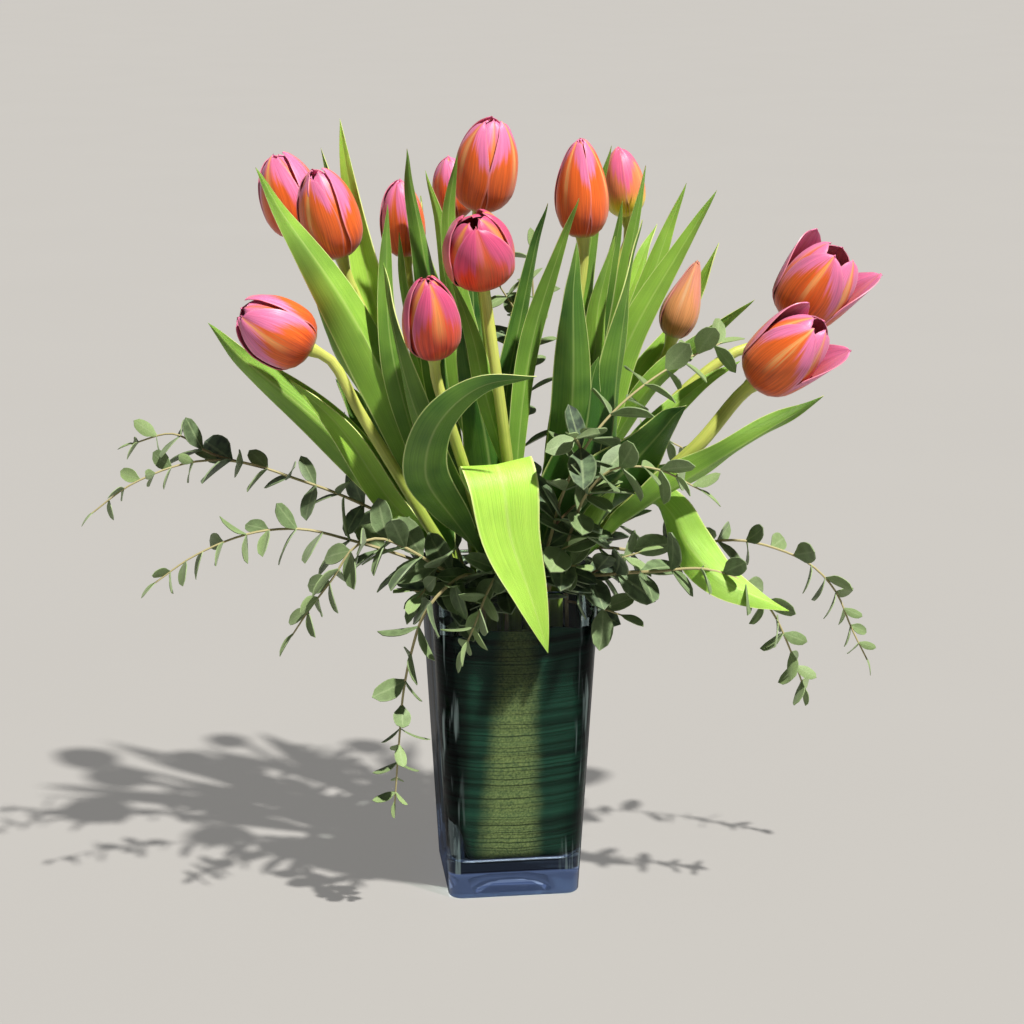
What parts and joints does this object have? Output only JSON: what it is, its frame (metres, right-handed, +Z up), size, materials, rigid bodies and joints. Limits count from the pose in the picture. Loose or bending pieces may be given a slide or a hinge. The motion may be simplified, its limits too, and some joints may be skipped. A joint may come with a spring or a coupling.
{
  "type": "tulips in a vase",
  "caption": "Tulips with eucalyptus sprays standing in water in a tapered square glass vase, with a broad leaf rolled inside the glass.",
  "frame": {"origin": "centre of the vase's underside", "axes": "+Z up, -Y towards the front, +X to the right; the vase's faces are square to X and Y"},
  "size_m": [0.499, 0.2235, 0.4845],
  "materials": {
    "glass": "gloss",
    "rolled_leaf": "satin",
    "water": "gloss",
    "tulip_green": "satin",
    "petals": "satin",
    "spray_green": "matte"
  },
  "bodies": {
    "root": {"back_left_bloom": "petals", "back_left_stem": "tulip_green", "back_middle_bloom": "petals", "back_middle_stem": "tulip_green", "back_right_bloom": "petals", "back_right_stem": "tulip_green", "bud_right_bloom": "petals", "bud_right_stem": "tulip_green", "front_low_bloom": "petals", "front_low_stem": "tulip_green", "left_back_bloom": "petals", "left_back_stem": "tulip_green", "left_low_bloom": "petals", "left_low_stem": "tulip_green", "left_upper_bloom": "petals", "left_upper_stem": "tulip_green", "lining_leaf": "rolled_leaf", "open_low_bloom": "petals", "open_low_stem": "tulip_green", "open_right_bloom": "petals", "open_right_stem": "tulip_green", "round_front_bloom": "petals", "round_front_stem": "tulip_green", "spray_back_left": "spray_green", "spray_back_right": "spray_green", "spray_corner_left": "spray_green", "spray_drooping_right": "spray_green", "spray_front": "spray_green", "spray_front_right": "spray_green", "spray_long_left": "spray_green", "spray_long_right": "spray_green", "spray_low_left": "spray_green", "spray_rising_right": "spray_green", "spray_trailing": "spray_green", "spray_upright_back": "spray_green", "tall_middle_bloom": "petals", "tall_middle_stem": "tulip_green", "tall_right_bloom": "petals", "tall_right_stem": "tulip_green", "vase": "glass", "water": "water"}
  },
  "joints": []
}
